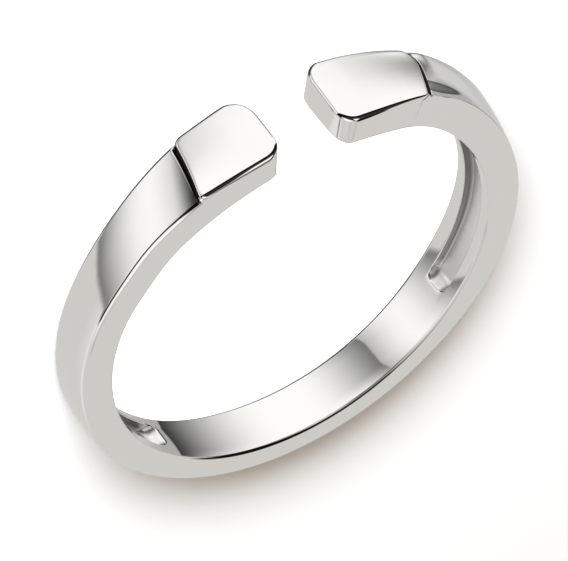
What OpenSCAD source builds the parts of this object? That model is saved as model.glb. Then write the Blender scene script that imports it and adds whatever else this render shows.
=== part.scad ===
// Open finger ring whose two ends are flat tablets that face each other across a gap.
// It lies on its side: the finger hole runs along Z through the origin, and the gap opens towards +Y.
// The whole ring is one casting, so it is one solid.

/* [Finger hole] */
// Inside diameter
finger_d = 17.3; // [15:0.1:20]

/* [Band] */
// Wall thickness opposite the gap
bottom_t = 1.13; // [1:0.01:1.4]
// Wall thickness that the round outside reaches next to the tablets
shoulder_t = 1.49; // [1.42:0.01:1.52]
// Width of the band opposite the gap
band_w = 2.18; // [1.8:0.02:2.5]
// Distance above the middle of the hole at which the sides start to flare
flare_start = 3.5; // [2:0.1:5]

/* [Tablets] */
// Opening between the two end faces
gap = 2.86; // [2:0.02:3.6]
// Width across a tablet at its end face
tablet_w = 3.13; // [2.8:0.01:3.5]
// Wall thickness under a tablet at its end face
end_t = 1.38; // [1.3:0.01:1.5]
// Wall thickness under a tablet at its shoulder end, where it steps down to the band
step_t = 1.66; // [1.62:0.01:1.8]
// Distance from the middle of the gap to the step of the left tablet
left_reach = 4.85; // [4.4:0.05:5.4]
// Distance from the middle of the gap to the step of the right tablet
right_reach = 5.65; // [4.9:0.05:5.8]
// Radius of the slight crown along each tablet
crown_r = 30; // [20:1:80]
// Angle that each step makes with a straight line across the band
step_slant = 12; // [0:1:14]
// Radius of the upright corners of the end faces
corner_r = 0.45; // [0.2:0.05:0.6]

/* [Relief channels] */
// Width of the channel hollowed into the inside of each shoulder
relief_w = 1.05; // [0.8:0.05:1.3]
// Depth of the channels
relief_depth = 0.4; // [0.2:0.05:0.6]
// Angle from the gap at which both channels start
relief_start = 50; // [45:1:70]
// Angle from the gap at which the left channel ends
left_relief_end = 138; // [90:1:150]
// Angle from the gap at which the right channel ends
right_relief_end = 128; // [90:1:150]

/* [Hidden] */
$fn = 180;

finger_r = finger_d / 2;
outer_r = finger_r + (bottom_t + shoulder_t) / 2;
// The outside circle sits off centre towards the gap, which thickens the shoulders
outer_y = (shoulder_t - bottom_t) / 2;

// Height of a tablet's top where its wall has the given thickness, at the given distance from the middle
function top_y(x, t) = sqrt(pow(finger_r + t, 2) - x * x);
end_y = top_y(gap / 2, end_t);

// Each side flares on an arc that leaves the straight band at flare_start and meets the tablet's width at the gap
flare_out = (tablet_w - band_w) / 2;
flare_up = end_y - flare_start;
flare_r = (flare_up * flare_up + flare_out * flare_out) / (2 * flare_out);

// Room by which the cutting shapes run past what they cut
over = 3;
// Length of band that is buried inside each tablet
buried = 0.3;

// Side view of the ring, with Y along the first axis and Z along the second: straight below, flared above
module side_outline() {
    low_y = outer_y - outer_r - over;
    translate([low_y, -band_w / 2])
        square([flare_start + buried - low_y, band_w]);
    difference() {
        translate([flare_start, -tablet_w])
            square([outer_r + over, 2 * tablet_w]);
        for (side = [-1, 1])
            translate([flare_start, side * (band_w / 2 + flare_r)])
                circle(flare_r);
    }
}

// The side view carried through the ring along X
module flared_sides() {
    rotate([90, 0, 90])
        linear_extrude(2 * (outer_r + over), center = true)
            side_outline();
}

// A plan outline of X and Z carried upwards from the middle of the hole
module raise_plan() {
    translate([0, outer_r + over, 0])
        rotate([90, 0, 0])
            linear_extrude(outer_r + over)
                children();
}

// Place of the step at height z; both steps lean the same way
function step_x(reach, z) = reach - z * tan(step_slant);

// Plan of everything between two slanted lines
module plan_between(left_x, right_x, left_slanted, right_slanted) {
    z = tablet_w;
    polygon([
        [left_slanted ? step_x(left_x, -z) : left_x, -z],
        [right_slanted ? step_x(right_x, -z) : right_x, -z],
        [right_slanted ? step_x(right_x, z) : right_x, z],
        [left_slanted ? step_x(left_x, z) : left_x, z]
    ]);
}

// What rounds one upright corner of an end face: a square corner less its inscribed circle
module corner_cut(side, up) {
    translate([side * gap / 2, up * tablet_w / 2])
        scale([side, up])
            difference() {
                translate([-over, -corner_r])
                    square([over + corner_r, corner_r + over]);
                translate([corner_r, -corner_r])
                    circle(corner_r);
                translate([corner_r, -corner_r])
                    square([corner_r + over, 2 * corner_r + over]);
            }
}

// Round body of the band, stopped just inside the tablets
module band() {
    difference() {
        translate([0, outer_y, 0])
            cylinder(r = outer_r, h = 2 * tablet_w, center = true);
        raise_plan()
            plan_between(buried - left_reach, right_reach - buried, true, true);
    }
}

// One tablet: the inside of its crown circle, from its end face to its slanted step
module tablet(side, reach) {
    step_y = top_y(reach, step_t);
    run = reach - gap / 2;
    fall = end_y - step_y;
    chord = norm([run, fall]);
    middle_depth = sqrt(crown_r * crown_r - chord * chord / 4);
    middle_x = (reach + gap / 2) / 2 - middle_depth * fall / chord;
    middle_y = (step_y + end_y) / 2 - middle_depth * run / chord;
    intersection() {
        translate([side * middle_x, middle_y, 0])
            cylinder(r = crown_r, h = 2 * tablet_w, center = true);
        raise_plan()
            difference() {
                if (side < 0)
                    plan_between(-reach, -gap / 2, true, false);
                else
                    plan_between(gap / 2, reach, false, true);
                for (up = [-1, 1])
                    corner_cut(side, up);
            }
    }
}

// Channel hollowed into the inside of one shoulder, between two angles from the gap
module relief(side, end_angle) {
    rotate([0, 0, side > 0 ? 90 - end_angle : 90 + relief_start])
        rotate_extrude(angle = end_angle - relief_start)
            translate([finger_r - relief_depth, -relief_w / 2])
                square([2 * relief_depth, relief_w]);
}

module open_band() {
    color("silver")
        difference() {
            intersection() {
                union() {
                    band();
                    tablet(-1, left_reach);
                    tablet(1, right_reach);
                }
                flared_sides();
            }
            cylinder(r = finger_r, h = 2 * tablet_w + over, center = true);
            relief(-1, left_relief_end);
            relief(1, right_relief_end);
        }
}

open_band();
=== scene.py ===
# %% [markdown]
# # An open finger ring with two flat tablets
# This lesson dresses a small silver ring for a studio picture. The ring is a narrow band, open on one side,
# and each of its two ends is a flat tablet that stands a little above the band. It is cast in one piece,
# filed and polished until it mirrors the room. The CAD model gives its real size. We load that model first
# and keep its box, because the finished ring has to stay inside it.

# %% Load the frame
import math

import bmesh
import bpy
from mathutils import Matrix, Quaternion, Vector


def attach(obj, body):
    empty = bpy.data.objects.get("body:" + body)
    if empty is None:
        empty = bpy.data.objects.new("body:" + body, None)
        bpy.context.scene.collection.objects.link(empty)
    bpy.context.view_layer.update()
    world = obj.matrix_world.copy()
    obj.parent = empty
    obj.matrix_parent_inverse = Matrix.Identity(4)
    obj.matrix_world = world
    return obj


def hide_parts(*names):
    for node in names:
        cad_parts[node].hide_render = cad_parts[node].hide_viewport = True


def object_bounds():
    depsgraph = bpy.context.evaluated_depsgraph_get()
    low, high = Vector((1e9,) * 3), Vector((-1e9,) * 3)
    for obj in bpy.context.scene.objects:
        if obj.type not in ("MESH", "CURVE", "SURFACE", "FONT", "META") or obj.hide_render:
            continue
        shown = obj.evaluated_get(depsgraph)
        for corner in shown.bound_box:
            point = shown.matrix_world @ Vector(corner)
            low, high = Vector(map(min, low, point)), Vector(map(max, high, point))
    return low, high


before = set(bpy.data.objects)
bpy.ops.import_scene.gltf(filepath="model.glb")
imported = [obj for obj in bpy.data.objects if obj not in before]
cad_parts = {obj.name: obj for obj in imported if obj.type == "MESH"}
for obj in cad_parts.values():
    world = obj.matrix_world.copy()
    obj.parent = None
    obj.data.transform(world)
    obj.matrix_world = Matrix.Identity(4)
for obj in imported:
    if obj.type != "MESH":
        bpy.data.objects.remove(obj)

cad_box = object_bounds()
print("CAD box in mm:", [[round(v * 1000, 2) for v in corner] for corner in cad_box])

# %% [markdown]
# ## The camera
# The ring lies on its side, and the camera looks down at it from the side of the opening. The picture is
# then turned in its own plane, as a photographer turns a camera on its tripod, so that the tablets come to
# the top. A long lens from a short way off keeps the shape nearly free of perspective.

# %% Place the camera
camera_place = Vector((-0.067790, 0.151218, 0.105573))
camera_target = Vector((-0.000221, -0.000118, 0.0))
camera_roll = math.radians(141.41)
camera_lens = 316.9

bpy.ops.object.select_all(action="DESELECT")
bpy.ops.object.camera_add(location=camera_place)
camera = bpy.context.object
camera.name = "camera"
camera.rotation_mode = "QUATERNION"
level_look = (camera_target - camera_place).to_track_quat("-Z", "Y")
camera.rotation_quaternion = level_look @ Quaternion((0.0, 0.0, 1.0), camera_roll)
camera.data.sensor_width = 36.0
camera.data.lens = camera_lens
camera.data.clip_start = 0.01
camera.data.clip_end = 10.0
bpy.context.scene.camera = camera
print("camera distance in mm:", round((camera_target - camera_place).length * 1000, 1))

# %% [markdown]
# ## Small helpers
# Node trees are easier to read when one short call adds a node and fills in its values. The second helper
# turns a grey as it is seen on screen, from 0 to 255, into the light value that the renderer counts in.


# %% Helpers for nodes and greys
def add_node(tree, kind, inputs=None, **settings):
    """Adds a node, sets its properties, then fills or links its inputs by name or number."""
    node = tree.nodes.new(kind)
    for name, value in settings.items():
        setattr(node, name, value)
    for key, value in (inputs or {}).items():
        if isinstance(value, bpy.types.NodeSocket):
            tree.links.new(value, node.inputs[key])
        else:
            node.inputs[key].default_value = value
    return node


def seen_grey(level):
    """Light value of a grey that shows on screen as the given level from 0 to 255."""
    share = level / 255
    return share / 12.92 if share <= 0.04045 else ((share + 0.055) / 1.055) ** 2.4


def mix_colours(tree, share, first, second):
    """Blends two colours: all first where the share is 0, all second where it is 1."""
    # A Mix node has its colours at places 6 and 7, and the blended colour at place 2.
    inputs = {0: share, 6: first, 7: second}
    return add_node(tree, "ShaderNodeMix", inputs, data_type="RGBA").outputs[2]


print("mid grey 128 is a light value of", round(seen_grey(128), 3))

# %% [markdown]
# ## The studio that the metal mirrors
# Polished silver has almost no colour of its own: what we see on it is the room. So the room is drawn as a
# photographer would build it, from soft white boxes, grey walls and black flags that stand round the ring.
# Each panel is a patch of directions. It runs from one bearing to another and from one height to another,
# and its edges fade as a soft box's do. A bearing is counted in degrees from the ring's opening, clockwise
# from above.

# %% One panel as a node group
panel_group = bpy.data.node_groups.new("studio_panel", "ShaderNodeTree")
for name in ("Bearing", "Height", "Middle", "Half Width", "Start Fade", "End Fade", "Bottom", "Top", "Fade"):
    panel_group.interface.new_socket(name, in_out="INPUT", socket_type="NodeSocketFloat")
panel_group.interface.new_socket("Mask", in_out="OUTPUT", socket_type="NodeSocketFloat")


def math_node(tree, operation, first, second=0.0, third=0.0):
    """One step of arithmetic, as a socket."""
    return add_node(tree, "ShaderNodeMath", {0: first, 1: second, 2: third}, operation=operation).outputs[0]


def soft_step(tree, value, edge, fade):
    """Rises softly from 0 to 1 where value passes the edge, over the given fade."""
    half = math_node(tree, "MULTIPLY", fade, 0.5)
    inputs = {
        "Value": value,
        "From Min": math_node(tree, "SUBTRACT", edge, half),
        "From Max": math_node(tree, "ADD", edge, half),
    }
    return add_node(tree, "ShaderNodeMapRange", inputs, interpolation_type="SMOOTHSTEP").outputs["Result"]


panel_in = add_node(panel_group, "NodeGroupInput").outputs
from_middle = math_node(panel_group, "SUBTRACT", panel_in["Bearing"], panel_in["Middle"])
from_middle = math_node(panel_group, "WRAP", from_middle, 180.0, -180.0)
minus_half = math_node(panel_group, "MULTIPLY", panel_in["Half Width"], -1.0)
past_start = soft_step(panel_group, from_middle, minus_half, panel_in["Start Fade"])
past_end = soft_step(panel_group, from_middle, panel_in["Half Width"], panel_in["End Fade"])
past_bottom = soft_step(panel_group, panel_in["Height"], panel_in["Bottom"], panel_in["Fade"])
past_top = soft_step(panel_group, panel_in["Height"], panel_in["Top"], panel_in["Fade"])
across = math_node(panel_group, "SUBTRACT", past_start, past_end)
upright = math_node(panel_group, "SUBTRACT", past_bottom, past_top)
panel_mask = math_node(panel_group, "MULTIPLY", across, upright)
add_node(panel_group, "NodeGroupOutput", {"Mask": panel_mask})
print("nodes in one panel:", len(panel_group.nodes))

# %% List the panels
# Each line: what it is, its bearings, its heights, how softly its start, end and height fade, its grey.
# The glow of a box lies inside the frame that is hung before it, and fades more softly than the frame.
all_round = (-181, 181)
studio_panels = [
    ("dark table", all_round, (-130, -57), (1, 1, 8), 60),
    ("glow on the left wall", (-150, -99), (-26, 6), (20, 2, 10), 224),
    ("dark ceiling", all_round, (45, 130), (1, 1, 4), 12),
    ("front wall", (-46, 97), (-10, 46), (6, 8, 4), 45),
    ("shade beside the front box", (100, 128), (-60, -4), (2, 44, 8), 170),
    ("gap over the boxes", (-97, 103), (-12, 13), (3, 5, 4), 8),
    ("left box frame", (-97, -33), (-60, -9), (6, 1, 2), 40),
    ("left box glow", (-83, -34), (-57, -11), (54, 46, 5), 249),
    ("front box frame", (-33, 101), (-60, -9), (1, 1, 2), 40),
    ("front box glow", (-18, 69), (-57, -11), (58, 76, 5), 253),
    ("front box upper glow", (-26, 88), (-28, -10), (40, 30, 6), 253),
    ("high box on the left", (-115, -42), (24, 76), (10, 8, 8), 252),
    ("high box in front", (8, 60), (40, 74), (6, 6, 8), 252),
    ("dark flag beside the front box", (111, 129), (-12, -4), (5, 9, 4), 30),
    ("pale upper corner of the front box", (95, 102), (-29, -9), (5, 1, 2), 168),
    ("pale strip in the shade", (101, 128), (-29, -22.5), (8, 20, 3), 205),
    ("grey wall behind", (170, 250), (45, 80), (8, 10, 5), 200),
    ("pale patch overhead", all_round, (74, 130), (1, 1, 8), 150),
]
print("panels in the studio:", len(studio_panels))

# %% [markdown]
# The world's shader is asked for a colour in every direction, so each direction is first turned into a
# bearing and a height. The panels lean a little, as boxes on stands do: their bearings turn by a share of a
# degree for each degree of height, in a zone above and below the middle of the boxes.

# %% Bearing and height of a direction
lean_of_panels = 0.6
middle_of_boxes = -32.0
lean_reach = 14.0

world = bpy.data.worlds.new("studio")
bpy.context.scene.world = world
world.use_nodes = True
sky = world.node_tree
sky.nodes.clear()
direction = add_node(sky, "ShaderNodeTexCoord").outputs["Generated"]
direction = add_node(sky, "ShaderNodeSeparateXYZ", {0: direction}).outputs
bearing = math_node(sky, "DEGREES", math_node(sky, "ARCTAN2", direction["X"], direction["Y"]))
height = math_node(sky, "DEGREES", math_node(sky, "ARCSINE", direction["Z"]))
above_middle = math_node(sky, "SUBTRACT", height, middle_of_boxes)
above_middle = math_node(sky, "MINIMUM", math_node(sky, "MAXIMUM", above_middle, -lean_reach), lean_reach)
bearing = math_node(sky, "MULTIPLY_ADD", above_middle, lean_of_panels, bearing)
print("the panels lean by at most this many degrees:", lean_of_panels * lean_reach)

# %% Hang the panels
cove_grey = 204
cove_tint = (1.0, 0.993, 0.962)

cove = [seen_grey(cove_grey) * tint for tint in cove_tint]
room = add_node(sky, "ShaderNodeRGB").outputs[0]
room.default_value = (*cove, 1.0)
frame_mask = None
for name, bearings, heights, fades, level in studio_panels:
    panel_values = {
        "Bearing": bearing,
        "Height": height,
        "Middle": sum(bearings) / 2,
        "Half Width": (bearings[1] - bearings[0]) / 2,
        "Start Fade": fades[0],
        "End Fade": fades[1],
        "Bottom": heights[0],
        "Top": heights[1],
        "Fade": fades[2],
    }
    panel = add_node(sky, "ShaderNodeGroup", panel_values, node_tree=panel_group, label=name)
    mask = panel.outputs["Mask"]
    if "box" in name and name.endswith("glow"):
        mask = math_node(sky, "MULTIPLY", mask, frame_mask)
    grey = seen_grey(level)
    room = mix_colours(sky, mask, room, (grey, grey, grey, 1.0))
    if name.endswith("frame"):
        frame_mask = mask
print("nodes in the studio:", len(sky.nodes))

# %% [markdown]
# Only the metal mirrors those panels. The floor is lit by plain, even white, which keeps it clean and free
# of noise. A Light Path node tells the two apart.

# %% Light the floor evenly
silver_share = 0.92
even_light = (0.382, 0.328, 0.268, 1.0)
metal_view = add_node(sky, "ShaderNodeBackground", {"Color": room, "Strength": 1 / silver_share})
floor_view = add_node(sky, "ShaderNodeBackground", {"Color": even_light})
for_metal = add_node(sky, "ShaderNodeLightPath").outputs["Is Glossy Ray"]
views = {0: for_metal, 1: floor_view.outputs[0], 2: metal_view.outputs[0]}
both_views = add_node(sky, "ShaderNodeMixShader", views)
add_node(sky, "ShaderNodeOutputWorld", {"Surface": both_views.outputs[0]})
print("even light on the floor:", even_light[:3])

# %% [markdown]
# ## The floor and the key lights
# The ring lies on a plain white table. Two soft key lights stand on the side of the opening, a strong one
# low and a faint one high, and throw the ring's shadow away from it. They are a little cool and the even
# light is a little warm, so the open table is white and the shadow is warm. Under the finger hole the floor's
# paint glows in a round disc, a painted glow that keeps any shadow from showing inside the ring. The Standard
# view transform leaves white as white, where Blender's default would grey it.

# %% Floor
floor_drop = 0.00002
floor_size = 3.0
floor_white = (0.93, 0.93, 0.93, 1.0)
floor_roughness = 0.9
glow_disc_radius = 0.0092
unlit = (0.0, 0.0, 0.0, 1.0)
lit = (1.0, 1.0, 1.0, 1.0)

bpy.ops.object.select_all(action="DESELECT")
bpy.ops.mesh.primitive_plane_add(size=floor_size, location=(0.0, 0.0, cad_box[0].z - floor_drop))
floor = bpy.context.object
floor.name = "floor"
floor.visible_glossy = False
floor_paint = bpy.data.materials.new("floor_paint")
floor_paint.use_nodes = True
paint_tree = floor_paint.node_tree
# Painted glow: inside a disc under the finger hole the floor's paint glows white, which hides the ring's
# shadow there.
place_on_floor = add_node(paint_tree, "ShaderNodeTexCoord").outputs["Object"]
from_centre = add_node(paint_tree, "ShaderNodeVectorMath", {0: place_on_floor}, operation="LENGTH")
glow_disc = math_node(paint_tree, "LESS_THAN", from_centre.outputs["Value"], glow_disc_radius)
paint = paint_tree.nodes["Principled BSDF"]
paint.inputs["Base Color"].default_value = floor_white
paint.inputs["Roughness"].default_value = floor_roughness
paint.inputs["Emission Strength"].default_value = 1.0
glow = mix_colours(paint_tree, glow_disc, unlit, lit)
paint_tree.links.new(glow, paint.inputs["Emission Color"])
floor.data.materials.append(floor_paint)
print("the floor lies this far below the CAD model, in mm:", floor_drop * 1000)

# %% Key lights
# Each line: name, direction in which it stands, width and height of its disk, power in watts.
key_lights = [
    ("low_key", Vector((-0.286, 0.880, 0.380)), (0.18, 0.10), 2.50),
    ("high_key", Vector((-0.305, 0.574, 0.760)), (0.10, 0.10), 0.04),
]
key_colour = (0.89, 0.945, 1.0)
key_distance = 0.3
for name, place, size, energy in key_lights:
    from_there = place.normalized()
    bpy.ops.object.light_add(type="AREA", location=from_there * key_distance)
    key_light = bpy.context.object
    key_light.name = name
    key_light.rotation_mode = "QUATERNION"
    key_light.rotation_quaternion = from_there.to_track_quat("Z", "Y")
    key_light.data.shape = "ELLIPSE"
    key_light.data.size, key_light.data.size_y = size
    key_light.data.energy = energy
    key_light.data.color = key_colour
    key_light.visible_glossy = False
    print(name, "stands", round(math.degrees(math.asin(from_there.z))), "degrees up")
bpy.context.scene.view_settings.view_transform = "Standard"

# %% [markdown]
# ## The ring as a bar
# A bench jeweller can make such a ring from one straight bar: the bar is filed to its section, the tablets
# and the channels are cut while it lies flat, and then it is bent round a mandrel. We do the same. Along
# the bar, X is the distance round the finger hole from the point opposite the opening, Z is the width, and
# -Y is the outside. We work in millimetres, so that the operators have comfortable numbers, and shrink the
# ring at the end.

# %% Make the bar
finger_radius = 8.65
bar_thickness = 1.30
bar_half_width = 1.25
right_end = 26.03
left_end = -25.84
left_end_lean = 0.20

bpy.ops.object.select_all(action="DESELECT")
bpy.ops.mesh.primitive_cube_add(size=1.0)
ring = bpy.context.object
ring.name = "polished_ring"
ring.data.name = "polished_ring"
bpy.ops.object.mode_set(mode="EDIT")
bpy.ops.transform.resize(value=(right_end - left_end, bar_thickness, 2 * bar_half_width))
bpy.ops.transform.translate(value=((right_end + left_end) / 2, -bar_thickness / 2, 0.0))
print("bar length in mm:", round(right_end - left_end, 2))

# %% [markdown]
# In edit mode an operator acts on all that is selected. By hand we would click on the parts. Here one
# helper picks them by their place or by the way they face, which still works when a size is changed.


# %% Pick parts of the bar by place
def pick(kind, test):
    """Selects the vertices, edges or faces that pass the test, and returns how many there are."""
    bpy.ops.mesh.select_mode(type=kind)
    bpy.ops.mesh.select_all(action="DESELECT")
    mesh = bmesh.from_edit_mesh(ring.data)
    parts = {"VERT": mesh.verts, "EDGE": mesh.edges, "FACE": mesh.faces}[kind]
    count = 0
    for part in parts:
        if test(part):
            part.select = True
            count += 1
    mesh.select_flush_mode()
    bmesh.update_edit_mesh(ring.data)
    return count


print("faces of the bar:", pick("FACE", lambda f: True))


# %% How an edge lies
def ends(edge):
    """The two ends of an edge."""
    return edge.verts[0].co, edge.verts[1].co


def lies_at(edge, axis, place, near=1e-3):
    """Whether both ends of an edge have the given place along an axis."""
    return all(abs(end[axis] - place) < near for end in ends(edge))


def runs_along(edge, axis):
    """Whether an edge is parallel to an axis."""
    first, second = ends(edge)
    return abs((second - first).normalized()[axis]) > 0.999


print("edges along the bar:", pick("EDGE", lambda e: runs_along(e, 0)))

# %% [markdown]
# The end faces have soft upright corners. The far corner of each is rounder than the near one, because such
# corners are eased by hand on a polishing wheel. The long rims are eased much less. A bevel modifier would
# need weights for so many radii, so each corner is picked and bevelled by itself.

# %% Round the corners and the rims
near_corner = 0.62
far_corner = {"right": 0.66, "left": 0.92}
outer_rim = 0.16
inner_rim = 0.16

# Each line: which end, which side, radius.
corners = [
    (1, 1, near_corner),
    (-1, 1, near_corner),
    (1, -1, far_corner["right"]),
    (-1, -1, far_corner["left"]),
]
beyond_tablets = 25.0
corner_segments = 8


def is_corner(edge, end, side):
    """Whether an edge is the upright corner at one end and one side of the bar."""
    at_side = lies_at(edge, 2, side * bar_half_width)
    return runs_along(edge, 1) and at_side and end * edge.verts[0].co.x > beyond_tablets


for end, side, radius in corners:
    found = pick("EDGE", lambda e: is_corner(e, end, side))
    bpy.ops.mesh.bevel(offset=radius, segments=corner_segments, affect="EDGES", offset_type="OFFSET")
    print("upright corners rounded:", found)
for depth, radius, segments in ((-bar_thickness, outer_rim, 5), (0.0, inner_rim, 4)):
    found = pick("EDGE", lambda e: lies_at(e, 1, depth))
    bpy.ops.mesh.bevel(offset=radius, segments=segments, affect="EDGES", offset_type="OFFSET")
    print("rim edges rounded:", found)

# %% [markdown]
# The near inner rim is worn from the side, so it runs further over the side face than down the inside. Its
# points are scaled about the edge that they came from, which is quicker than a second bevel. The left end
# face leans a little, as a saw cut does.

# %% Wear the near inner rim
rim_wear = (1.0, 1.5, 0.55)
# Points are picked by place with this much room for rounding.
slack = 0.005
found = pick("VERT", lambda v: v.co.z > bar_half_width - inner_rim - slack and v.co.y > -inner_rim - slack)
bpy.ops.transform.resize(value=rim_wear, center_override=(0.0, 0.0, bar_half_width))
print("points of the worn rim:", found)

# %% Lean the left end face
found = pick("VERT", lambda v: v.co.x < 0 and v.co.y < -bar_thickness / 2)
bpy.ops.transform.translate(value=(-left_end_lean, 0.0, 0.0))
print("points of the leaning end:", found)

# %% [markdown]
# The outside is one flat face so far. Lines along it give the later steps points to move. They lie closer
# together near the rims, where the crown and the steps turn most.

# %% Lines along the outside
outer_lines = (0.0, 0.25, 0.5, 0.7, 0.88, 1.02)


def faces_out(face):
    """Whether a face looks straight outwards."""
    return face.normal.y < -0.9999


def cut(place, normal):
    """Cuts whatever is selected with a plane."""
    bpy.ops.mesh.bisect(plane_co=place, plane_no=normal)


for line in outer_lines:
    for z in {line, -line}:
        pick("FACE", faces_out)
        cut((0.0, 0.0, z), (0.0, 0.0, 1.0))
print("strips on the outside:", pick("FACE", faces_out))

# %% [markdown]
# ## The channels under the shoulders
# A caster hollows the inside of each shoulder to save metal, which leaves a shallow channel with a satin
# floor. Each one is a strip of the inside face that is pushed into the bar. A boolean would cut it too, but
# an extruded face keeps clean edges to round. Its floor and walls get a second material.

# %% Cut the channels
channel_sides = (-0.66, 0.55)
channel_depth = 0.4
# Where each channel starts and ends along the bar.
channels = {"right": (8.2, 19.63), "left": (-19.63, -6.44)}
# A face belongs to the middle strip when its centre is this near to the bar's middle line.
middle_strip = 0.2


def faces_hole(face):
    """Whether a face looks straight at the finger hole."""
    return face.normal.y > 0.9999


for z in channel_sides:
    pick("FACE", lambda f: faces_hole(f) and abs(f.calc_center_median().y) < 1e-4)
    cut((0.0, 0.0, z), (0.0, 0.0, 1.0))
for low, high in channels.values():
    for x in (low, high):
        pick("FACE", lambda f: faces_hole(f) and abs(f.calc_center_bounds().z) < middle_strip)
        cut((x, 0.0, 0.0), (1.0, 0.0, 0.0))
for name, (low, high) in channels.items():
    middle = Vector(((low + high) / 2, 0.0, 0.0))
    pick("FACE", lambda f: faces_hole(f) and (f.calc_center_bounds() - middle).length < middle_strip)
    bpy.ops.mesh.extrude_region_move(TRANSFORM_OT_translate={"value": (0.0, -channel_depth, 0.0)})
    print(name, "channel is", round(high - low, 2), "mm long")

# %% [markdown]
# A channel is brushed out after casting, so nothing in it is sharp: its corners are round, its floor meets
# its walls in a curve, and its edges are broken. At the lower end, the one that shows, the floor runs up in
# a short ramp, which catches the light.

# %% Round the channels' corners
channel_corner = 0.40
channel_segments = 6


def in_channel(edge):
    """Whether both ends of an edge lie on a channel's outline."""
    spots = [
        min(abs(end.z - side) for side in channel_sides) < slack
        and any(low - slack < end.x < high + slack for low, high in channels.values())
        for end in ends(edge)
    ]
    return all(spots)


def is_channel_corner(edge):
    """Whether an edge is one of the upright corners of a channel."""
    in_depth = all(-channel_depth - slack < end.y < slack for end in ends(edge))
    return runs_along(edge, 1) and in_channel(edge) and in_depth


print("corners of the channels:", pick("EDGE", is_channel_corner))
bpy.ops.mesh.bevel(offset=channel_corner, segments=channel_segments, affect="EDGES", offset_type="OFFSET")

# %% Slope the lower ends
channel_ramp = 0.35
# All points of a channel lie nearer to the bar's middle line than this.
channel_reach = 0.7


def at_lower_end(v, lower_end, way):
    """Whether a point lies on a channel's floor, in the rounded part of its lower end."""
    on_floor = abs(v.co.y + channel_depth) < slack and abs(v.co.z) < channel_reach
    past_end = way * (v.co.x - lower_end)
    return on_floor and -slack < past_end < channel_corner + slack


for lower_end, way in ((channels["right"][0], 1), (channels["left"][1], -1)):
    found = pick("VERT", lambda v: at_lower_end(v, lower_end, way))
    bpy.ops.transform.translate(value=(way * channel_ramp, 0.0, 0.0))
    print("points of the ramp:", found)

# %% Ease the floors and the edges
channel_floor_ease = 0.16
channel_rim_ease = 0.05


def on_channel_wall(edge, depth):
    """Whether an edge lies at a depth and borders a channel's upright wall."""
    walls = [
        face
        for face in edge.link_faces
        if abs(face.normal.y) < 0.9 and abs(face.calc_center_median().y) < channel_depth
    ]
    return lies_at(edge, 1, depth) and any(
        all(v.co.y > -channel_depth - slack and abs(v.co.z) < channel_reach for v in face.verts)
        for face in walls
    )


for depth, radius, segments in ((-channel_depth, channel_floor_ease, 3), (0.0, channel_rim_ease, 2)):
    found = pick("EDGE", lambda e: on_channel_wall(e, depth))
    bpy.ops.mesh.bevel(offset=radius, segments=segments, affect="EDGES", offset_type="OFFSET")
    print("edges round the channels:", found)

# %% Three slots, and the satin one for the channels
polished, satin, groove = 0, 1, 2
satin_from = -0.045


def lies_in_channel(face):
    """Whether a face lies inside a channel, below its broken edge."""
    centre = face.calc_center_median()
    in_depth = -channel_depth - slack < centre.y < satin_from
    along = any(low < centre.x < high for low, high in channels.values())
    return in_depth and along and abs(centre.z) < channel_reach


for slot in (polished, satin, groove):
    bpy.ops.object.material_slot_add()
print("satin faces:", pick("FACE", lies_in_channel))
ring.active_material_index = satin
bpy.ops.object.material_slot_assign()

# %% [markdown]
# ## Rows across the bar
# Every later step moves whole rows of points, so the bar is cut across at many places. Rows stand close
# together at the step between tablet and band, because its small curves need them. The steps lean a little
# across the band, so the rows lean with them, less and less the further off they stand.

# %% List the rows
# Each step's place along the bar, and its lean: millimetres along for each millimetre across.
step_reach = {"right": 21.96, "left": 23.16}
step_lean = {"right": 0.31, "left": 0.202}
# Each step's profile: how far past the step, towards the band, and how far below the tablet's top.
groove_profiles = {
    "left": {
        -0.30: 0.0, -0.12: 0.0, -0.06: 0.003, -0.03: 0.010, -0.01: 0.022, 0.0: 0.045, 0.012: 0.26, 0.04: 0.30,
        0.12: 0.30, 0.15: 0.28, 0.17: 0.24,
    },
    "right": {
        -0.30: 0.0, -0.12: 0.0, -0.06: 0.003, -0.03: 0.010, -0.01: 0.022, 0.0: 0.045, 0.012: 0.22, 0.03: 0.25,
        0.07: 0.25, 0.10: 0.22, 0.15: 0.15,
    },
}
past_groove = (0.19, 0.26, 0.36, 0.48, 0.62, 0.8, 1.0, 1.2, 1.4, 1.65, 1.9)
before_groove = 0.3
tablet_row_gap = 0.36
band_row_gap = 0.375
last_row = 25.05
lean_fades_over = 1.9

rows = []
for name, sign in (("right", 1), ("left", -1)):
    reach = step_reach[name]
    run = last_row - reach
    count = round((run - before_groove) / tablet_row_gap)
    tablet_rows = [-run + n * (run - before_groove) / count for n in range(count)]
    for past in [*tablet_rows, *groove_profiles[name], *past_groove]:
        share = 1 + past / run if past < 0 else 1 - past / lean_fades_over
        rows.append((sign * (reach - past), max(0.0, share) * step_lean[name], name, past))
band_from = -(step_reach["left"] - lean_fades_over)
band_to = step_reach["right"] - lean_fades_over
band_count = round((band_to - band_from) / band_row_gap)
for n in range(1, band_count):
    rows.append((band_from + n * (band_to - band_from) / band_count, 0.0, "band", None))
print("rows across the bar:", len(rows))

# %% Cut the rows
for x, lean, name, past in rows:
    bpy.ops.mesh.select_all(action="SELECT")
    cut((x, 0.0, 0.0), (1.0, 0.0, -lean))
print("points after the cuts:", len(bmesh.from_edit_mesh(ring.data).verts))

# %% [markdown]
# ## Thickness and width along the bar
# Seen along the finger hole, the outside of the band is a circle that sits a little off centre, so the wall
# grows from the bottom to the shoulders. Each tablet has a top of its own. Seen from the outside, the band
# is evenly wide and then flares towards the opening. Small functions give the wall and the half width at
# each place, so that every row can ask for its own.

# %% The wall as functions
outer_radius = 10.03
outer_offset = 0.18
tablet_crowns = {"right": 11.0, "left": 24.0}
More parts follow.
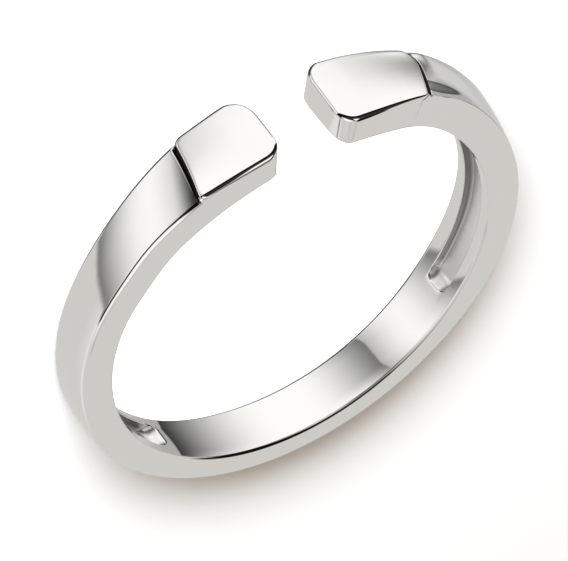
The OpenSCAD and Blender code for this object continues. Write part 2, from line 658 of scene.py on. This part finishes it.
# Each top passes through two places: distance from the middle of the opening, radius there.
tablet_tops = {"right": ((1.43, 10.07), (5.73, 10.36)), "left": ((1.43, 10.10), (4.75, 10.37))}


def angle_at(x):
    """Angle from the opening, in radians, of a place along the bar."""
    return math.pi - abs(x) / finger_radius


def band_wall(x):
    """Thickness of the plain band."""
    a = angle_at(x)
    outside = outer_offset * math.cos(a) + math.sqrt(outer_radius**2 - (outer_offset * math.sin(a)) ** 2)
    return outside - finger_radius


def tablet_wall(x, name):
    """Thickness under a tablet, whose top is an arc through its two ends, seen along the hole."""
    (x1, r1), (x2, r2) = tablet_tops[name]
    first, second = Vector((x1, math.sqrt(r1 * r1 - x1 * x1))), Vector((x2, math.sqrt(r2 * r2 - x2 * x2)))
    chord = second - first
    down = Vector((chord.y, -chord.x)).normalized()
    crown = tablet_crowns[name]
    centre = (first + second) / 2 + down * math.sqrt(crown**2 - chord.length_squared / 4)
    ray = Vector((math.sin(angle_at(x)), math.cos(angle_at(x))))
    along = ray.dot(centre)
    return along + math.sqrt(along * along - centre.length_squared + crown**2) - finger_radius


print("wall in mm opposite the opening:", round(band_wall(0.0), 3))
for name, sign in (("right", 1), ("left", -1)):
    walls = [round(tablet_wall(sign * x, name), 3) for x in (last_row, step_reach[name])]
    print(name, "tablet wall in mm at the opening and at the step:", walls)

# %% The width as functions
plain_half_width = 1.10
bottom_swell = 0.06
mean_outer_radius = 9.9
flare_from = 3.5
flare_radius = 41.3
# The two sides of a hand-made ring differ, so each has small bumps and hollows of its own: height of the
# bump, its place along the bar, its spread. The near side is 1 and the far side is -1.
side_bumps = {
    1: [(0.17, -19.6, 2.8), (-0.10, -20.5, 1.3), (-0.22, 20.4, 2.2), (0.10, 25.0, 1.8), (0.06, -24.6, 1.8)],
    -1: [(0.31, 9.6, 5.0), (-0.10, -20.0, 2.8), (-0.05, 17.5, 2.5), (-0.03, 25.0, 4.0), (-0.05, -24.1, 1.7)],
}
plain_extra = {1: 0.0, -1: 0.03}


def half_width(x):
    """Half the width of the ring."""
    rise = mean_outer_radius * math.cos(angle_at(x))
    swell = bottom_swell * max(0.0, -math.cos(angle_at(x))) ** 2
    return plain_half_width + swell + max(0.0, rise - flare_from) ** 2 / (2 * flare_radius)


def bump(x, place, spread):
    """A smooth bump of height 1 at a place along the bar."""
    return math.exp(-(((x - place) / spread) ** 2))


def side_extra(x, side):
    """Small extra width of one side of the ring."""
    bumps = sum(height * bump(x, place, spread) for height, place, spread in side_bumps[side])
    return plain_extra[side] + bumps


for x in (0.0, right_end, left_end):
    print("width in mm at", x, "is", round(2 * half_width(x) + side_extra(x, 1) + side_extra(x, -1), 2))

# %% [markdown]
# Every row of points is now given its own wall, width and tilt. On a tablet a row leans a little to the
# near side. At the right shoulder it is fuller and leans more, as it does on a ring that is filed by eye.
# The two rims of a row keep a wall of their own, so that the groove at a step doesn't notch them.

# %% The wall of a row and of its rims
shoulder_place, shoulder_spread = 18.0, 3.8
shoulder_lift = 0.11
shoulder_growth = 0.003
right_arm = (12.2, 5.4)
right_arm_lift = 0.20
step_dip = (-0.14, 0.16)


def shoulder_share(x):
    """Share of the right shoulder's fullness that a place has: all of it near the step, less below."""
    if x > shoulder_place:
        return 1 + shoulder_growth * (x - shoulder_place) ** 2
    return bump(x, shoulder_place, shoulder_spread)


def wall_of_row(x, name, past):
    """Thickness at a row, by what it crosses: band, tablet or the step between them."""
    if name != "band" and past in groove_profiles[name]:
        return tablet_wall(x, name) - groove_profiles[name][past]
    if name != "band" and past < 0:
        return tablet_wall(x, name)
    return band_wall(x) + shoulder_lift * shoulder_share(x) + right_arm_lift * bump(x, *right_arm)


def wall_of_rim(x, name, past):
    """Thickness at a row's two rims, which pass a step in one soft curve and never dip into its groove."""
    if name == "band":
        return wall_of_row(x, name, past)
    share = min(1.0, max(0.0, (past - step_dip[0]) / (step_dip[1] - step_dip[0])))
    share = share * share * (3 - 2 * share)
    return tablet_wall(x, name) * (1 - share) + wall_of_row(x, "band", past) * share


deepest = {name: max(profile.values()) for name, profile in groove_profiles.items()}
print("depth of the grooves in mm:", deepest)

# %% The tilt of a row
tablet_tilt = {"right": 0.065, "left": 0.05}
shoulder_twist = 0.18
# The tilt turns into the twist between these two distances past a step.
twist_over = {"right": (0.012, 0.7), "left": (0.012, 0.013)}


def tilt_of_row(x, name, past):
    """Turn of a row about the bar's length, in radians. A positive turn lowers the near side."""
    twist = shoulder_twist * shoulder_share(x)
    if name == "band":
        return twist
    first, last = twist_over[name]
    share = min(1.0, max(0.0, (past - first) / (last - first)))
    return tablet_tilt[name] * (1 - share) + twist * share


degrees = round(math.degrees(tilt_of_row(shoulder_place, "band", None)), 1)
print("the right shoulder is twisted by this many degrees:", degrees)

# %% Shape one row
rim_from = bar_half_width - outer_rim - slack
beside_rim = 0.95
# Points deeper than the first belong to the outside. Inner points past the second belong to the sides.
outside_from = -0.8
inner_side_from = 0.8


def outside(v):
    """Whether a point belongs to the outside of the bar."""
    return v.co.y < outside_from


def widens(v, side):
    """Whether a point moves with the width. The channels, inside and near the middle, keep theirs."""
    return side * v.co.z > 0 and (outside(v) or abs(v.co.z) > inner_side_from)


def shape_row(points, x, lean, wall, rim_wall, tilt):
    """Sets the thickness, tilt and width of one row of points. Its rims may keep a wall of their own."""
    depths = (
        (0.0, beside_rim, wall),
        (beside_rim, rim_from, (wall + rim_wall) / 2),
        (rim_from, math.inf, rim_wall),
    )
    for low, high, depth in depths:
        if pick("VERT", lambda v: v.index in points and outside(v) and low <= abs(v.co.z) < high):
            bpy.ops.transform.translate(value=(0.0, bar_thickness - depth, 0.0))
    for side in (1, -1):
        wide = half_width(x + side * lean * bar_half_width) + side_extra(x, side)
        if pick("VERT", lambda v: v.index in points and widens(v, side)):
            scale = (1.0, 1.0, wide / bar_half_width)
            bpy.ops.transform.resize(value=scale, center_override=(0.0, 0.0, 0.0))
    if abs(tilt) > 1e-5:
        pick("VERT", lambda v: v.index in points and outside(v))
        bpy.ops.transform.rotate(value=tilt, orient_axis="X", center_override=(x, -wall, 0.0))


print("points on the outside:", pick("VERT", outside))

# %% [markdown]
# Points are found by their place, but the next steps move them. So each row's points are noted first, by
# their numbers, and so are those of the tablets and of the grooves. The grooves get the third material.

# %% Remember each row's points
groove_end = {name: max(profile) for name, profile in groove_profiles.items()}
# Further out than this, all points belong to the tablets or their end faces.
end_from = 24.5
# The tablet's own rows end this far short of its groove's profile, and the dark groove ends this far past
# the step and this far across.
short_of_profile = 0.03
groove_until = 0.2
groove_inside = 1.12


def points_where(test):
    """Numbers of the points that pass the test, kept so that moving them doesn't change what they are."""
    return {v.index for v in bmesh.from_edit_mesh(ring.data).verts if test(v)}


def on_row(place, x, lean):
    """Whether a place lies on a row."""
    return abs(place.x - x - lean * place.z) < 1e-4


row_points = [points_where(lambda v: on_row(v.co, x, lean)) for x, lean, name, past in rows]
tablet_points = points_where(lambda v: abs(v.co.x) > end_from)
groove_points = set()
for points, (x, lean, name, past) in zip(row_points, rows):
    if name != "band" and past < groove_end[name] - short_of_profile:
        tablet_points |= points
    if name != "band" and 0.0 <= past < groove_until:
        groove_points |= points


def in_groove(v):
    """Whether a point lies in a groove, clear of the rims."""
    return v.index in groove_points and outside(v) and abs(v.co.z) < groove_inside


print("dark faces in the grooves:", pick("FACE", lambda f: all(in_groove(v) for v in f.verts)))
ring.active_material_index = groove
bpy.ops.object.material_slot_assign()
print("points on the tablets:", len(tablet_points))

# %% [markdown]
# A step isn't a straight line. It rounds off where it meets the side faces, widely at the right step's far
# end, and the left one bows a little. The rows beside it follow, less and less the further off they stand.

# %% Curve the steps
far_round = {"right": 0.85, "left": 0.25}
near_round = {"right": 0.2, "left": 0.25}
step_bow = {"right": 0.0, "left": 0.05}


def step_curve(name, z):
    """How far the step's line lies from its straight lean, towards the opening, at one line along the bar."""
    radius = far_round[name] if z < 0 else near_round[name]
    over = max(0.0, abs(z) - (bar_half_width - radius))
    return radius - math.sqrt(max(0.0, radius**2 - over**2)) - step_bow[name] * z * z


def curve_share(past, run):
    """How much of the curve a row takes on: all of it near the step, none at the far rows."""
    return max(0.0, 1 + past / run if past < 0 else 1 - past / lean_fades_over)


all_points = {v.index: v.co.copy() for v in bmesh.from_edit_mesh(ring.data).verts if outside(v)}
moved = 0
for x, lean, name, past in rows:
    if name == "band":
        continue
    sign = 1 if name == "right" else -1
    share = curve_share(past, last_row - step_reach[name])
    on_this_row = [(n, co) for n, co in all_points.items() if on_row(co, x, lean)]
    for z in {round(co.z, 3) for n, co in on_this_row}:
        shift = sign * share * step_curve(name, z)
        if abs(shift) > 1e-3:
            points = {n for n, co in on_this_row if abs(co.z - z) < 1e-3}
            pick("VERT", lambda v: v.index in points)
            bpy.ops.transform.translate(value=(shift, 0.0, 0.0))
            moved += len(points)
print("points moved to curve the steps:", moved)

# %% [markdown]
# A file leaves the outside slightly rounded across, more on the band than on the tablets. Each line along
# the bar is lowered by the square of its distance from the middle, less a little, so that the mean wall
# stays.

# %% Crown the outside
band_crown = 0.07
tablet_cross_crown = 0.03
crown_lift = 0.3
end_faces_from = 25.45
depth_room, length_room = 0.001, 0.02


def on_outside_line(v):
    """Whether a point lies on the outside or its rims, short of the last row."""
    return v.co.y < -bar_thickness + outer_rim + depth_room and abs(v.co.x) < last_row - length_room


def on_line(v, line, on_tablet):
    """Whether a point lies on one line along the outside, on a tablet or else on the band."""
    here = outside(v) and abs(abs(v.co.z) - line) < 1e-3 and abs(v.co.x) < end_faces_from
    return here and (v.index in tablet_points) == on_tablet


bar_points = bmesh.from_edit_mesh(ring.data).verts
bar_lines = sorted({round(abs(v.co.z), 3) for v in bar_points if on_outside_line(v)})
print("lines across the outside:", bar_lines)
for line in bar_lines:
    share = (line / bar_half_width) ** 2
    for crown, on_tablet in ((band_crown, False), (tablet_cross_crown, True)):
        if pick("VERT", lambda v: on_line(v, line, on_tablet)):
            bpy.ops.transform.translate(value=(0.0, crown * (share - crown_lift), 0.0))

# %% [markdown]
# Now every row goes to its place. A leaning row crosses a wall that grows along the bar, so it is tilted by
# that growth too. The end faces and their rounded corners have no rows, so their points are taken place by
# place.

# %% Move every row to its wall and width
small = 0.01
for points, (x, lean, name, past) in zip(row_points, rows):
    wall = wall_of_row(x, name, past)
    growth = (wall_of_row(x + small, name, past) - wall_of_row(x - small, name, past)) / (2 * small)
    tilt = tilt_of_row(x, name, past) - growth * lean
    shape_row(points, x, lean, wall, wall_of_rim(x, name, past), tilt)

in_rows = set().union(*row_points)
end_places = {}
for v in bmesh.from_edit_mesh(ring.data).verts:
    if abs(v.co.x) > end_from and v.index not in in_rows:
        end_places.setdefault(round(v.co.x, 2), set()).add(v.index)
for x, points in end_places.items():
    name = "right" if x > 0 else "left"
    wall = tablet_wall(x, name)
    shape_row(points, x, 0.0, wall, wall, tilt_of_row(x, name, -1.0))
print("rows of points:", len(row_points), "places along the two ends:", len(end_places))

# %% [markdown]
# ## Bend it round the finger
# A Simple Deform modifier bends the bar about its own origin. The angle is the bar's length over the radius
# of the finger hole, so the inside keeps its length and the outside stretches, as metal does on a mandrel.

# %% Bend and finish
bpy.ops.object.mode_set(mode="OBJECT")
span = max(v.co.x for v in ring.data.vertices) - min(v.co.x for v in ring.data.vertices)
bend = ring.modifiers.new("bend", "SIMPLE_DEFORM")
bend.deform_method = "BEND"
bend.deform_axis = "Z"
bend.angle = span / finger_radius
bpy.ops.object.modifier_apply(modifier="bend")

bpy.ops.object.shade_smooth()
weighted = ring.modifiers.new("weighted", "WEIGHTED_NORMAL")
weighted.mode = "FACE_AREA"
weighted.keep_sharp = False
bpy.ops.object.modifier_apply(modifier="weighted")

mm = 0.001
ring.location = (0.0, -finger_radius * mm, 0.0)
ring.scale = (mm, mm, mm)
bpy.ops.object.transform_apply(location=True, rotation=True, scale=True)

check = bmesh.new()
check.from_mesh(ring.data)
open_edges = sum(1 for e in check.edges if not e.is_manifold)
print("open edges:", open_edges, "volume in mm3:", round(check.calc_volume() / mm**3, 1))
print("points, faces:", len(check.verts), len(check.faces))
check.free()

# %% [markdown]
# ## The finishes
# A polishing wheel runs round the ring, so whatever lines it leaves run round the ring too. One node group
# turns the place on the ring into a place along it, across it and through it, and draws faint lines with a
# noise that is stretched round the ring. All three finishes use it, each with its own strength.


# %% Wheel lines as a node group
def distance_from_hole(tree, place):
    """Distance of a place from the finger hole's middle line."""
    x_squared = math_node(tree, "MULTIPLY", place["X"], place["X"])
    squares = math_node(tree, "MULTIPLY_ADD", place["Y"], place["Y"], x_squared)
    return math_node(tree, "SQRT", squares)


# A turn of one radian counts as only this many metres, which stretches the noise round the ring.
line_stretch = 0.0005
cloud_size = 260.0

lines_group = bpy.data.node_groups.new("wheel_lines", "ShaderNodeTree")
lines_group.interface.new_socket("Fineness", in_out="INPUT", socket_type="NodeSocketFloat")
lines_group.interface.new_socket("Lines", in_out="OUTPUT", socket_type="NodeSocketFloat")
lines_group.interface.new_socket("Clouds", in_out="OUTPUT", socket_type="NodeSocketFloat")
lines_group.interface.new_socket("Wall Shade", in_out="OUTPUT", socket_type="NodeSocketFloat")
lines_in = add_node(lines_group, "NodeGroupInput").outputs
on_ring = add_node(lines_group, "ShaderNodeTexCoord").outputs["Object"]
on_ring = add_node(lines_group, "ShaderNodeSeparateXYZ", {0: on_ring}).outputs
from_hole = distance_from_hole(lines_group, on_ring)
turn = math_node(lines_group, "ARCTAN2", on_ring["X"], on_ring["Y"])
along_ring = math_node(lines_group, "MULTIPLY", turn, line_stretch)
stretched = {"X": along_ring, "Y": from_hole, "Z": on_ring["Z"]}
stretched = add_node(lines_group, "ShaderNodeCombineXYZ", stretched).outputs[0]
thin_lines = {"Vector": stretched, "Scale": lines_in["Fineness"], "Detail": 3.0}
thin_lines = add_node(lines_group, "ShaderNodeTexNoise", thin_lines).outputs[0]
soft_clouds = add_node(lines_group, "ShaderNodeTexNoise", {"Scale": cloud_size, "Detail": 2.0}).outputs[0]
print("nodes for the lines and the clouds:", len(lines_group.nodes))

# %% [markdown]
# The same group marks the channels' upright walls, which are a shade darker than their floors, because
# little light gets down to them. The mark stops short of the lower ends, whose ramps are bright.

# %% Mark the channels' walls in the same group
# The mark fades in over these distances from the finger hole's middle line, in metres, and fades out over
# these angles short of a channel's lower end, in radians.
wall_foot, wall_dark_from = 0.009052, 0.00899
ramp_turns = (0.11, 0.05)

above_floor = {"Value": from_hole, "From Min": wall_foot, "From Max": wall_dark_from}
above_floor = add_node(lines_group, "ShaderNodeMapRange", above_floor, interpolation_type="SMOOTHSTEP")
end_zones = []
for sign, x in ((1.0, channels["right"][0]), (-1.0, channels["left"][1])):
    end_turn = math.pi - abs(x) / finger_radius
    zone = {
        "Value": math_node(lines_group, "MULTIPLY", turn, sign),
        "From Min": end_turn - ramp_turns[0],
        "From Max": end_turn - ramp_turns[1],
    }
    end_zones.append(add_node(lines_group, "ShaderNodeMapRange", zone).outputs[0])
away_from_end = math_node(lines_group, "SUBTRACT", 1.0, math_node(lines_group, "ADD", *end_zones))
wall_shade = math_node(lines_group, "MULTIPLY", above_floor.outputs["Result"], away_from_end)
group_results = {"Lines": thin_lines, "Clouds": soft_clouds, "Wall Shade": wall_shade}
add_node(lines_group, "NodeGroupOutput", group_results)
print("nodes in the wheel lines:", len(lines_group.nodes))

# %% [markdown]
# Beside each step the polished colour is painted dark, a painted shade that stands in for dark reflections.
# Beside the left step it is a strip, and beside the right one a small leaf of the shoulder. Both are masks,
# worked out from how far a point lies past the step along the band, how far across the band, and how far
# from the finger hole.


# %% Where a point lies beside a step
def beside_step(tree, name):
    """How far a point lies past a step and across the band, in mm, and from the finger hole, in m."""
    place = add_node(tree, "ShaderNodeTexCoord").outputs["Object"]
    place = add_node(tree, "ShaderNodeSeparateXYZ", {0: place}).outputs
    sign = 1.0 if name == "right" else -1.0
    turned = math_node(tree, "ARCTAN2", math_node(tree, "MULTIPLY", place["X"], sign), place["Y"])
    along = math_node(tree, "MULTIPLY", turned, finger_radius)
    across = math_node(tree, "MULTIPLY", place["Z"], 1 / mm)
    middle_of_step = math.pi * finger_radius - step_reach[name]
    step_at = math_node(tree, "MULTIPLY_ADD", across, -sign * step_lean[name], middle_of_step)
    past_step = math_node(tree, "SUBTRACT", along, step_at)
    return past_step, across, distance_from_hole(tree, place)


for name in ("right", "left"):
    print(name, "step in mm from the opening:", round(math.pi * finger_radius - step_reach[name], 2))

# %% Painted shade beside the left step
shade_length = 1.05
shade_far_share = 0.45
shade_sides = {"From Min": -1.1, "From Max": 1.1}
foot_of_step = 0.05
full_shade_until = 0.1
# Only the top of the band gets the painted shade: it lies this far from the finger hole's middle line, in
# metres.
top_from, top_full = 0.01004, 0.01011


def painted_shade_beside_step(tree):
    """Mask of the painted shade beside the left step, which is longest and strongest at its near end."""
    past_step, across, from_hole = beside_step(tree, "left")
    sides = {"Value": across, **shade_sides}
    length = {**sides, "To Min": shade_far_share * shade_length, "To Max": shade_length}
    length = add_node(tree, "ShaderNodeMapRange", length).outputs[0]
    strength = {**sides, "To Min": shade_far_share, "To Max": 1.0}
    strength = add_node(tree, "ShaderNodeMapRange", strength).outputs[0]
    fade = {"Value": past_step, "From Min": length, "From Max": full_shade_until}
    fade = add_node(tree, "ShaderNodeMapRange", fade, interpolation_type="SMOOTHSTEP").outputs["Result"]
    on_top = {"Value": from_hole, "From Min": top_from, "From Max": top_full}
    on_top = add_node(tree, "ShaderNodeMapRange", on_top).outputs[0]
    on_band = math_node(tree, "MULTIPLY", math_node(tree, "GREATER_THAN", past_step, foot_of_step), on_top)
    return math_node(tree, "MULTIPLY", math_node(tree, "MULTIPLY", fade, strength), on_band)


print("length of the tarnish in mm:", shade_length)

# %% Painted dark leaf beside the right step
leaf_middle = 0.56
leaf_half_width = 0.27
leaf_length = 1.95
leaf_edge = {"From Min": 1.15, "From Max": 0.80}
leaf_depth = {"From Min": 0.15, "From Max": 0.85, "To Min": 0.62, "To Max": 0.92}
# The shoulder's outside lies further than this from the finger hole's middle line there, in metres.
outside_radius = 0.0099


def painted_leaf_beside_step(tree):
    """Mask of a painted dark leaf beside the right step, a painted shade, half an ellipse that is darkest
    along its edge.
    """
    past_step, across, from_hole = beside_step(tree, "right")
    off_middle = math_node(tree, "MULTIPLY_ADD", across, 1 / leaf_half_width, -leaf_middle / leaf_half_width)
    share = math_node(tree, "DIVIDE", past_step, leaf_length)
    squares = math_node(tree, "MULTIPLY", off_middle, off_middle)
    squares = math_node(tree, "MULTIPLY_ADD", share, share, squares)
    edge = {"Value": squares, **leaf_edge}
    edge = add_node(tree, "ShaderNodeMapRange", edge, interpolation_type="SMOOTHSTEP").outputs["Result"]
    depth = add_node(tree, "ShaderNodeMapRange", {"Value": squares, **leaf_depth}).outputs[0]
    past_foot = math_node(tree, "GREATER_THAN", past_step, foot_of_step)
    on_outside = math_node(tree, "GREATER_THAN", from_hole, outside_radius)
    on_band = math_node(tree, "MULTIPLY", past_foot, on_outside)
    return math_node(tree, "MULTIPLY", math_node(tree, "MULTIPLY", edge, depth), on_band)


print("length and width of the leaf in mm:", leaf_length, 2 * leaf_half_width)

# %% [markdown]
# The finishes differ in few numbers. The outside is polished until its wheel lines hardly show. The
# channels are only brushed, so they are satin. The grooves at the steps are painted nearly black, a painted
# shade in the narrow recess.

# %% The three finishes
# Each line: name, base colour, how far the colour varies, roughness from and to, line fineness, line depth.
finishes = [
    ("polished_silver", (0.925, 0.918, 0.900), 0.02, (0.03, 0.07), 9000.0, 0.006),
    ("satin_channel", (0.97, 0.96, 0.95), 0.04, (0.30, 0.44), 5000.0, 0.02),
    # The grooves' near-black colour is painted shade.
    ("dark_groove", (0.030, 0.028, 0.026), 0.30, (0.35, 0.55), 20000.0, 0.05),
]
# Painted shade: the dark colour that the masks beside the two steps paint onto the polished silver.
painted_shade = (0.03, 0.03, 0.03, 1.0)
unlit_wall = (0.36, 0.35, 0.34, 1.0)
line_range = {"From Min": 0.3, "From Max": 0.7}
line_height = 0.00005

for number, (name, colour, varies, rough, fineness, depth) in enumerate(finishes):
    finish = bpy.data.materials.new(name)
    finish.use_nodes = True
    tree = finish.node_tree
    metal = tree.nodes["Principled BSDF"]
    marks = add_node(tree, "ShaderNodeGroup", {"Fineness": fineness}, node_tree=lines_group).outputs
    darker = tuple(part * (1 - varies) for part in colour)
    paint = mix_colours(tree, marks["Clouds"], (*darker, 1.0), (*colour, 1.0))
    if name == "polished_silver":
        # Painted shade beside the left step, and a painted dark leaf beside the right one.
        for mask in (painted_shade_beside_step(tree), painted_leaf_beside_step(tree)):
            paint = mix_colours(tree, mask, paint, painted_shade)
    if name == "satin_channel":
        paint = mix_colours(tree, marks["Wall Shade"], paint, unlit_wall)
    tree.links.new(paint, metal.inputs["Base Color"])
    spread = {"Value": marks["Lines"], **line_range, "To Min": rough[0], "To Max": rough[1]}
    tree.links.new(add_node(tree, "ShaderNodeMapRange", spread).outputs[0], metal.inputs["Roughness"])
    bumps = {"Height": marks["Lines"], "Strength": depth, "Distance": line_height}
    tree.links.new(add_node(tree, "ShaderNodeBump", bumps).outputs[0], metal.inputs["Normal"])
    metal.inputs["Metallic"].default_value = 1.0
    ring.material_slots[number].material = finish
print("finishes:", [slot.name for slot in ring.material_slots])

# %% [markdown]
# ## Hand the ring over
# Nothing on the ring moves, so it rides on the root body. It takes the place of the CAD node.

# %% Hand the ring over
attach(ring, "root")
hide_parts("open_band")
